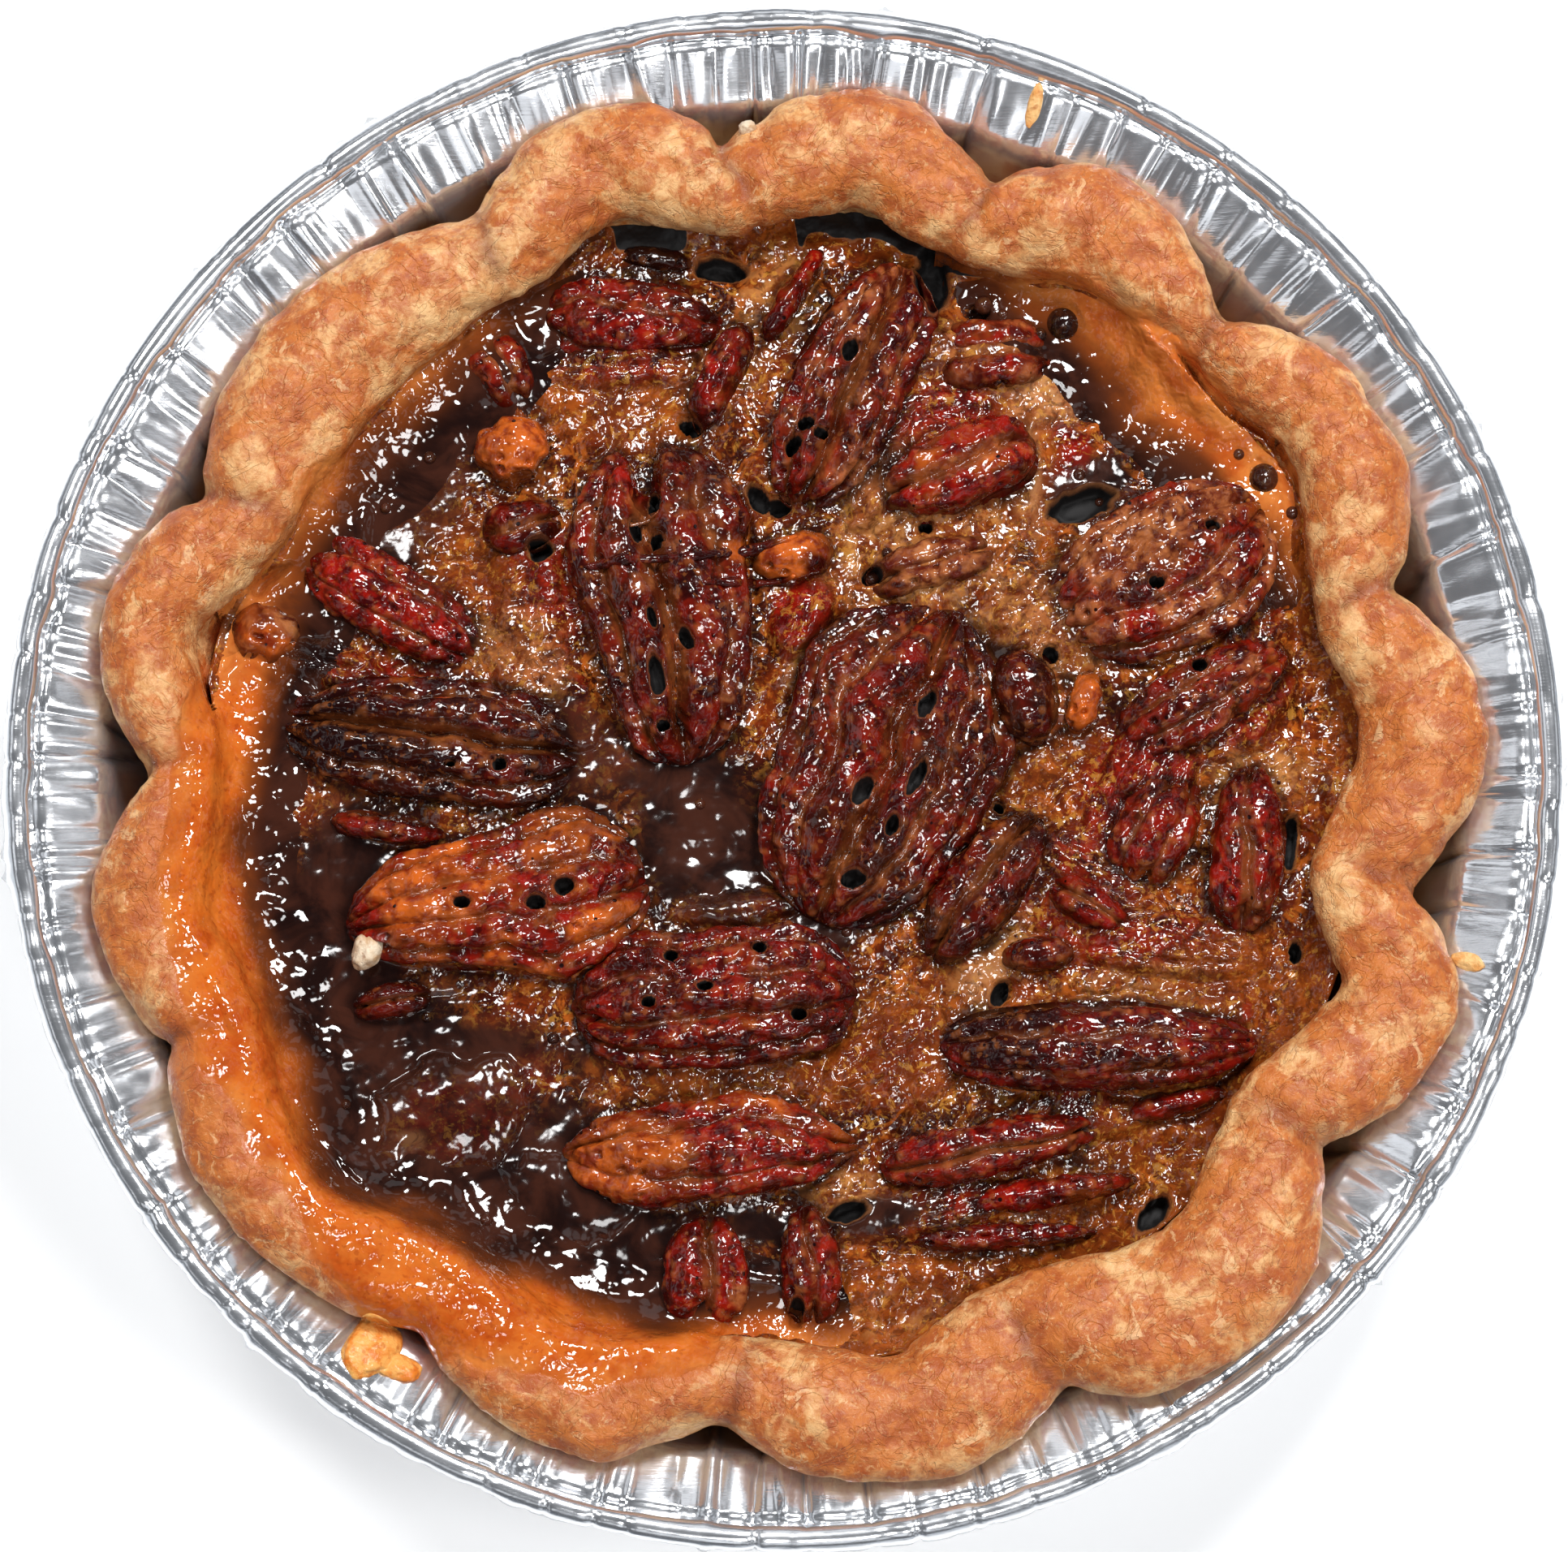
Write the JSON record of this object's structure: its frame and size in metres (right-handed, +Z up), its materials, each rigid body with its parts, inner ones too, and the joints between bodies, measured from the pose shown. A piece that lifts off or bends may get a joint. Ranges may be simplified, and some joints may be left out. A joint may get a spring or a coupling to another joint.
{
  "type": "pecan pie in a foil tin",
  "caption": "Small round pecan pie with a fluted pastry rim, glossy set filling and sunken pecan halves, in its foil baking tin.",
  "frame": {"origin": "middle of the tin's flat underside, on the table", "axes": "+Z up out of the pie, +X to the right as served, +Y away from the viewer"},
  "size_m": [0.1588, 0.1588, 0.0361],
  "materials": {
    "foil": "bright crinkled aluminium foil",
    "crust": "baked shortcrust pastry, mottled golden brown, slight sheen",
    "filling": "dark glossy set syrup with caramel patches",
    "pecan": "glazed toasted pecan, dark red-brown, bubbled"
  },
  "bodies": {
    "root": {"foil_tin": "foil", "pastry_crust": "crust", "filling": "filling", "pecan_01": "pecan", "pecan_02": "pecan", "pecan_03": "pecan", "pecan_04": "pecan", "pecan_05": "pecan", "pecan_06": "pecan", "pecan_07": "pecan", "pecan_08": "pecan", "pecan_09": "pecan", "pecan_10": "pecan", "pecan_11": "pecan", "pecan_12": "pecan", "pecan_13": "pecan", "pecan_14": "pecan", "pecan_15": "pecan", "pecan_16": "pecan", "pecan_17": "pecan", "pecan_18": "pecan", "pecan_19": "pecan", "pecan_20": "pecan", "pecan_21": "pecan", "pecan_22": "pecan", "pecan_23": "pecan", "pecan_24": "pecan", "pecan_25": "pecan", "pecan_26": "pecan", "pecan_27": "pecan", "pecan_28": "pecan", "pecan_29": "pecan", "pecan_30": "pecan", "pecan_31": "pecan", "pecan_32": "pecan", "pecan_33": "pecan", "pecan_34": "pecan", "pecan_35": "pecan", "pecan_36": "pecan", "pecan_37": "pecan", "pecan_38": "pecan"}
  },
  "joints": []
}
